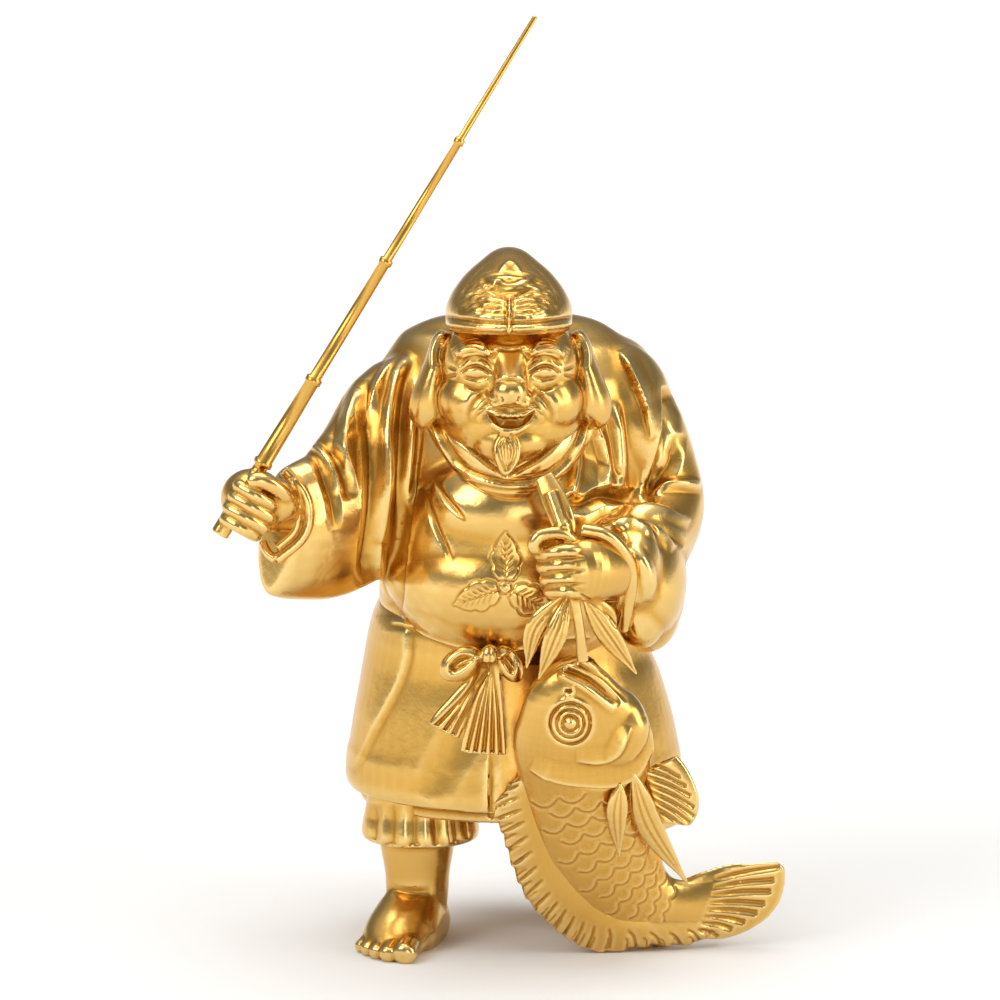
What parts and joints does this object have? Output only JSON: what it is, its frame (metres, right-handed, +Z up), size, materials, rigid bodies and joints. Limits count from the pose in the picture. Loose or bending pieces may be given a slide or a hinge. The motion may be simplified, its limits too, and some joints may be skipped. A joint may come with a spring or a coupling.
{
  "type": "ebisu figure",
  "caption": "Gold-finished cast figure of a laughing fisherman god in cap and robe, standing, with a fishing rod in one hand and a sea bream hanging from the other.",
  "frame": {"origin": "centre of the bounding box's bottom, on the standing plane", "axes": "+Z up, the figure faces -Y, +X to the right of a viewer in front of it, who sees the rod at the left and the fish at the right"},
  "size_m": [0.1572, 0.106, 0.2699],
  "materials": {
    "gold_figure": "gold leaf over cast copper alloy, satin with bright edges",
    "gold_rod": "gold leaf over drawn and turned brass, satin"
  },
  "bodies": {
    "root": {"figure": "gold_figure", "fishing_rod": "gold_rod"}
  },
  "joints": []
}
